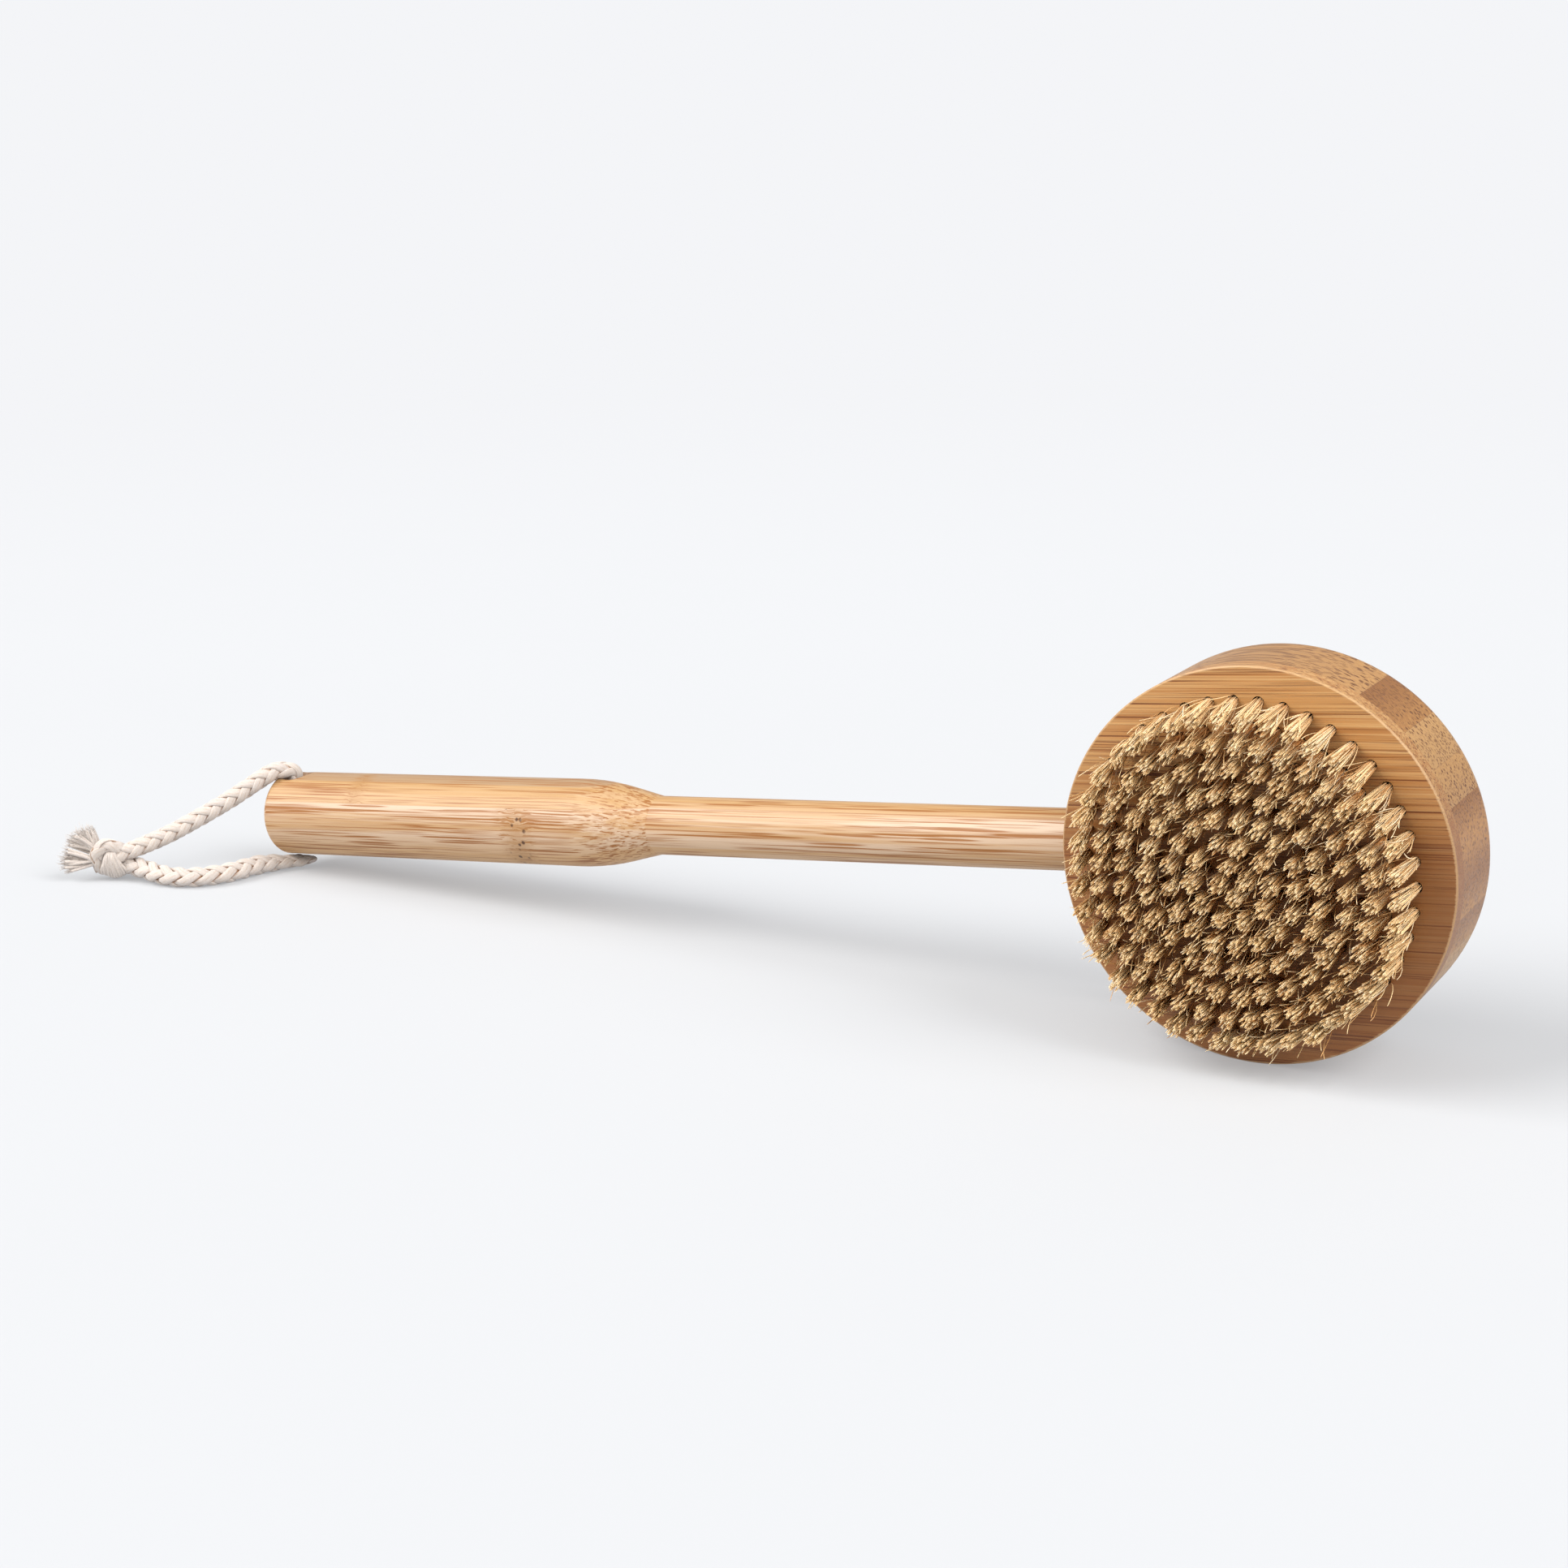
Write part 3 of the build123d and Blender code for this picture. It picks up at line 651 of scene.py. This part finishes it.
def braid(builder, line, run, sides, ups, width, height, random, turn=0.0):
    """Flat strands of yarns, half of them each way, over two and under two, scaled by width and height."""
    along = run / MM
    phi = np.linspace(0, 2 * pi, STRAND_POINTS, endpoint=False)
    half = STRANDS // 2
    wide, tall = width[:, None], height[:, None]
    for k in range(STRANDS):
        way, start = (1, 0) if k < half else (-1, pi / STRANDS * 2)
        theta = way * 2 * pi * along / LAY_MM + (k % half) * 2 * pi / half + start + turn
        wave = np.cos(2 * (theta - turn)) * way
        radius = BRAID_RADIUS_MM + BRAID_WAVE_MM * wave
        right, up = np.cos(theta)[:, None] * sides, np.sin(theta)[:, None] * ups
        centre = line + (right * wide + up * tall) * radius[:, None] * MM
        strand_tangent = tangents(centre)
        outward = unit(right / wide + up / tall)
        outward = unit(outward - strand_tangent * (outward * strand_tangent).sum(axis=1, keepdims=True))
        across = np.cross(strand_tangent, outward)
        own = random.random()
        twist = along[:, None] * 0.35 * way + own * 6
        lobes = np.abs(np.cos(YARNS / 2 * phi[None] + twist))
        grow = 1 + 0.10 * (lobes - 0.5)
        thick = STRAND_HALF_THICKNESS_MM * np.minimum(height, 1.0)
        slim = np.minimum(np.minimum(width, height) / 0.6, 1.0)[:, None]
        x = np.cos(phi)[None] * STRAND_HALF_WIDTH_MM * grow * slim
        y = np.sin(phi)[None] * thick[:, None] * grow * slim
        rings = centre[:, None] + (across[:, None] * x[..., None] + outward[:, None] * y[..., None]) * MM
        # Red is how deep a point lies in the braid; the cotton paints shade from it between the strands.
        reach = radius[:, None] + np.sin(phi)[None] * STRAND_HALF_THICKNESS_MM
        inner, outer = BRAID_RADIUS_MM - 0.7, BRAID_RADIUS_MM + BRAID_WAVE_MM + 0.5
        crease_shade = 1 - np.clip((reach - inner) / (outer - inner), 0, 1)
        colours = np.stack([crease_shade, lobes, np.full_like(crease_shade, own)], axis=2)
        builder.add(*skin(rings, colours))


def level_frames(line):
    """Sides that stay level along a line that is never upright."""
    tangent = tangents(line)
    sides = unit(np.cross(tangent, np.array([0, 0, 1.0])))
    return sides, np.cross(sides, tangent)


def ease(x, low, high):
    """A smooth step from 0 at low to 1 at high."""
    t = np.clip((x - low) / (high - low), 0, 1)
    return t * t * (3 - 2 * t)


def make_legs(material):
    """The upper leg, with the cord's run through the bore, and the lower leg."""
    random = np.random.default_rng(7)
    # Up through the bore, against the wall nearest the grip's end, then down the route.
    below = BORE - ACROSS * 11 * MM
    inside = BORE + ACROSS * (GRIP_RADIUS - 10 * MM) + ALONG * 1.0 * MM
    mouth = BORE + ACROSS * (GRIP_RADIUS - 3.2 * MM) + ALONG * 1.6 * MM
    route = [below, BORE - ACROSS * 3 * MM, inside, mouth] + [from_bore(*p) for p in UPPER_ROUTE_MM]
    line, run = even(spline_points(route), CORD_STEP)
    level_sides, _ = level_frames(line[-8:])
    backwards, _ = frames_along(line[::-1], level_sides[-1])
    sides = backwards[::-1]
    ups = np.cross(sides, tangents(line))
    at = run / MM
    squeeze = ease(at, 24, 34)
    width = 0.90 + 0.14 * squeeze - 0.10 * ease(at, at[-1] - 12, at[-1])
    height = 0.84 + 0.14 * squeeze - 0.06 * ease(at, at[-1] - 12, at[-1])
    builder = Builder()
    braid(builder, line, run, sides, ups, width, height, random, turn=0.5)
    upper = builder.object("cord_upper", material)
    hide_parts("cord_bore_run", "cord_upper_leg")
    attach(upper, "loop")

    line, run = even(spline_points([from_bore(*p) for p in LOWER_ROUTE_MM]), CORD_STEP)
    sides, ups = level_frames(line)
    at = run / MM
    free = ease(at, 8, 20)
    nose = 0.10 + 0.90 * np.sqrt(np.clip(at / NOSE_MM, 0, 1))  # its hidden end, under the grip
    height = (0.66 + 0.36 * free) * nose
    width = (1.16 + 0.10 * free - 0.16 * ease(at, at[-1] - 12, at[-1])) * nose
    builder = Builder()
    braid(builder, line, run, sides, ups, width, height, random)
    lower = builder.object("cord_lower", material)
    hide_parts("cord_exit_pad", "cord_lower_leg")
    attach(lower, "loop")


# ------------------------------------------------------------------ knot and frayed ends
VIEW_RIGHT = Vector((cos(AZIMUTH), sin(AZIMUTH), 0))
TO_VIEWER = Vector((sin(AZIMUTH), -cos(AZIMUTH), 0))
KNOT_WIDER, KNOT_TALLER, KNOT_RIGHT_MM = 1.05, 1.03, 1.4
KNOT_YARNS = 11
FIBRES_PER_YARN, FIBRE_STEPS = 9, 4


def knot_point(x, y, d):
    """Right, up and towards the front from the knot's middle, in millimetres."""
    rise = (y + d * sin(ELEVATION)) / cos(ELEVATION) * KNOT_TALLER
    offset = VIEW_RIGHT * (x * KNOT_WIDER + KNOT_RIGHT_MM) + TO_VIEWER * d + Vector((0, 0, rise))
    return from_bore(*KNOT_MM) + offset * MM


def yarn(builder, line, radius_mm, random, taper=1.0):
    """One soft three-ply yarn along a line."""
    line, run = even(line, 0.45 * MM)
    first = np.cross(tangents(line)[0], np.array([0.2, 0.3, 0.9]))
    sides, ups = frames_along(line, first)
    phi = np.linspace(0, 2 * pi, 9, endpoint=False)
    twist = run[:, None] / MM * 1.5 + random.random() * 6
    lobes = np.abs(np.cos(1.5 * phi[None] + twist))
    size = radius_mm * MM * np.linspace(1, taper, len(line))[:, None] * (0.86 + 0.24 * lobes)
    right, up = (np.cos(phi) * size)[..., None], (np.sin(phi) * size)[..., None]
    rings = line[:, None] + sides[:, None] * right + ups[:, None] * up
    own = random.random()
    colours = np.stack([np.full_like(lobes, 0.2), lobes, np.full_like(lobes, own)], axis=2)
    builder.add(*skin(rings, colours))


def make_knot(material):
    """Turns of the braid round a core, and the loose yarns that come out of them."""
    random = np.random.default_rng(19)
    builder = Builder()

    def band(points, width, height, first_side):
        """One turn of the braid."""
        line, run = even(spline_points([knot_point(*p) for p in points]), CORD_STEP)
        sides, ups = frames_along(line, first_side)
        ones = np.ones(len(line))
        braid(builder, line, run, sides, ups, ones * width, ones * height, random)

    front = np.array(TO_VIEWER)
    # The hood that goes over the top, the turn behind, and the core between them.
    hood = [(-3.6, -3.6, -0.6), (-4.7, -0.6, 1.4), (-4.2, 2.6, 2.2), (-1.4, 4.7, 2.4), (1.6, 4.1, 2.2),
            (3.4, 2.4, 1.2), (3.6, 0.2, -0.6)]
    behind = [(3.8, 0.6, -0.4), (2.6, 2.6, -2.6), (-0.6, 3.0, -3.9), (-3.2, 0.6, -3.8), (-2.6, -2.6, -2.4),
              (0.4, -3.8, -0.8)]
    core = [(5.0, -1.6, -0.4), (2.0, -1.4, 0.2), (-1.0, -0.4, 0.0), (-4.6, 1.0, 0.0)]
    band(hood, 0.80, 0.62, np.array(VIEW_RIGHT))
    band(behind, 0.80, 0.62, front)
    band(core, 0.92, 0.80, front)
    # The yarns that come out under the hood and turn below the knot.
    for t in np.linspace(-0.5, 0.5, KNOT_YARNS):
        lift = 0.5 * cos(pi * t)
        low = -4.9 - 1.2 * cos(pi * t)
        points = [
            (0.2 + 1.6 * t, 3.0 - 0.4 * abs(t), 2.0),
            (0.3 + 3.0 * t, 1.6, 3.9 + lift),
            (0.6 + 5.4 * t, -1.4, 4.4 + lift),
            (0.9 + 7.6 * t, low + 1.5, 3.7 + lift),
            (0.9 + 7.6 * t, low, 2.1),
            (0.8 + 5.8 * t, low + 0.4, 0.2),
        ]
        line = spline_points([knot_point(*(c + random.normal(0, 0.12) for c in p)) for p in points])
        yarn(builder, line, random.uniform(0.46, 0.60), random)
    knot = builder.object("cord_knot_wrap", material)
    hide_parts("cord_knot")
    return knot


def frayed_end(name, node, material, root, tips, count, seed):
    """A fan of yarns from the knot, each split into a few fibres at its tip."""
    random = np.random.default_rng(seed)
    builder = Builder()
    fibres = []
    for i in range(count):
        t = (i + random.random() * 0.7) / count
        tip = np.array([np.interp(t, [0, 0.5, 1], [p[k] for p in tips]) for k in range(3)])
        start = np.array(root) + random.normal(0, 0.75, 3)
        tip = start + (tip - start) * random.uniform(0.86, 1.04) + np.array([0, 0, random.normal(0, 1.3)])
        middle = (start + tip) / 2 + random.normal(0, 0.55, 3)
        points = [start, start * 0.65 + middle * 0.35, middle, tip]
        points = [Vector(knot_point(*p)) for p in points]
        for p in points:
            p.z = max(p.z, 1.0 * MM)
        line = spline_points(points)
        yarn(builder, line, random.uniform(0.50, 0.74), random, taper=0.75)
        end, ahead = line[-1], unit(line[-1] - line[-4])
        for _ in range(FIBRES_PER_YARN):
            reach = random.uniform(0.7, 2.0) * MM
            bend = random.normal(0, 0.36, (2, 3)) * reach
            begin = end - ahead * 1.0 * MM + random.normal(0, 0.16, 3) * MM
            steps = np.linspace(0, 1, FIBRE_STEPS)[:, None]
            fibre = begin + ahead * (reach + MM) * steps + bend[0] * steps**2 + bend[1] * steps * (1 - steps)
            fibre[:, 2] = np.maximum(fibre[:, 2], 0.3 * MM)
            fibres.append(fibre)
    lines = np.array(fibres)
    radii = np.repeat(np.linspace(0.11, 0.05, FIBRE_STEPS)[None] * MM, len(lines), 0)
    colours = np.zeros((len(lines), FIBRE_STEPS, 3))
    colours[:] = (0.1, 0.9, 0.2)
    hair_tubes(builder, lines, radii, colours)
    obj = builder.object(name, material)
    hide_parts(node)
    return obj


def make_ends(material):
    """The two frayed ends, to the left of the knot."""
    upper = frayed_end("cord_frayed_upper", "cord_tail_upper", material, root=(-4.0, 2.4, 0.4),
                       tips=[(-5.2, 10.0, 0.5), (-11.4, 8.6, 0.0), (-14.0, 4.2, 0.2)], count=26, seed=5)
    lower = frayed_end("cord_frayed_lower", "cord_tail_lower", material, root=(-3.8, -0.4, 0.6),
                       tips=[(-13.6, 3.6, 1.0), (-15.6, -0.8, 2.0), (-13.6, -4.2, 2.6)], count=20, seed=6)
    return [upper, lower]


# ------------------------------------------------------------------ stage and light
BACKGROUND = (0.905, 0.912, 0.935)
FLOOR_RADIUS = 9.0
FADE_FROM, FADE_TO = 0.45, 1.5


def make_floor():
    """A pale floor that fades into the background's colour far from the object."""
    bpy.ops.mesh.primitive_circle_add(vertices=96, radius=FLOOR_RADIUS, fill_type="NGON", location=(0, 0, 0))
    floor = bpy.context.object
    floor.name = "floor"
    g = Graph("floor")
    point = g.vector("MULTIPLY", g.object_point(), (1, 1, 0))
    far = g.math("SQRT", g.vector("DOT_PRODUCT", point, point))
    grain = g.noise(g.object_point(), scale=6, detail=2)
    colour = g.mix(grain, (0.309, 0.318, 0.332), (0.315, 0.324, 0.338))
    g.finish(colour, 0.85, Specular_IOR_Level=0.15, Emission_Color=(*BACKGROUND, 1), Emission_Strength=0.33)
    glow = g.tree.nodes.new("ShaderNodeEmission")
    glow.inputs["Color"].default_value = (*BACKGROUND, 1)
    blend = g.tree.nodes.new("ShaderNodeMixShader")
    g.put(g.span(far, FADE_FROM, FADE_TO), blend.inputs[0])
    g.tree.links.new(g.shader.outputs[0], blend.inputs[1])
    g.tree.links.new(glow.outputs[0], blend.inputs[2])
    g.tree.links.new(blend.outputs[0], g.output.inputs[0])
    floor.data.materials.append(g.material)


def make_world():
    """Soft white surroundings, seen a little brighter than they light."""
    world = bpy.data.worlds.new("studio")
    bpy.context.scene.world = world
    world.use_nodes = True
    tree = world.node_tree
    tree.nodes.clear()
    light, seen = tree.nodes.new("ShaderNodeBackground"), tree.nodes.new("ShaderNodeBackground")
    light.inputs["Color"].default_value = (0.97, 0.985, 1.0, 1)
    light.inputs["Strength"].default_value = 0.52
    seen.inputs["Color"].default_value = (*BACKGROUND, 1)
    path, blend = tree.nodes.new("ShaderNodeLightPath"), tree.nodes.new("ShaderNodeMixShader")
    out = tree.nodes.new("ShaderNodeOutputWorld")
    tree.links.new(path.outputs["Is Camera Ray"], blend.inputs[0])
    tree.links.new(light.outputs[0], blend.inputs[1])
    tree.links.new(seen.outputs[0], blend.inputs[2])
    tree.links.new(blend.outputs[0], out.inputs[0])


def soft_light(name, direction, strength, spread, colour):
    """An even, far softbox, as wide in the sky as its spread in degrees."""
    data = bpy.data.lights.new(name, "SUN")
    data.energy, data.angle, data.color = strength, radians(spread), colour
    lamp = bpy.data.objects.new(name, data)
    back = Vector(direction).normalized()
    lamp.location = HEAD + back
    lamp.rotation_mode = "QUATERNION"
    lamp.rotation_quaternion = back.to_track_quat("Z", "Y")
    bpy.context.scene.collection.objects.link(lamp)


def make_lights():
    """A key from the left, a second from the right and a weak warm one from the front."""
    soft_light("key", (-0.58, -0.48, 0.68), 3.52, 40, (1.0, 0.985, 0.96))
    soft_light("side", (0.73, -0.06, 0.68), 2.53, 40, (1.0, 0.985, 0.97))
    soft_light("front", (0.30, -0.74, 0.60), 0.88, 60, (1.0, 0.93, 0.83))


# ------------------------------------------------------------------ scene
make_camera()
cotton = cotton_material()
knot = make_knot(cotton)
ends = make_ends(cotton)
for piece in [knot, *ends]:
    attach(piece, "loop")
make_legs(cotton)
make_tufts(bristle_material())
steel = anchor_steel()
NODE_MATERIALS = {"head_face_ply": bamboo_ply(), "head_back_block": bamboo_block(), "handle": bamboo_handle()}
NODE_MATERIALS |= {f"anchor_ring_{i + 1}": steel for i in range(RINGS)}
for node, material in NODE_MATERIALS.items():
    for place in frame["nodes"][node].material_slots:
        place.material = material
make_floor()
make_world()
make_lights()
bpy.context.scene.view_settings.view_transform = "Standard"
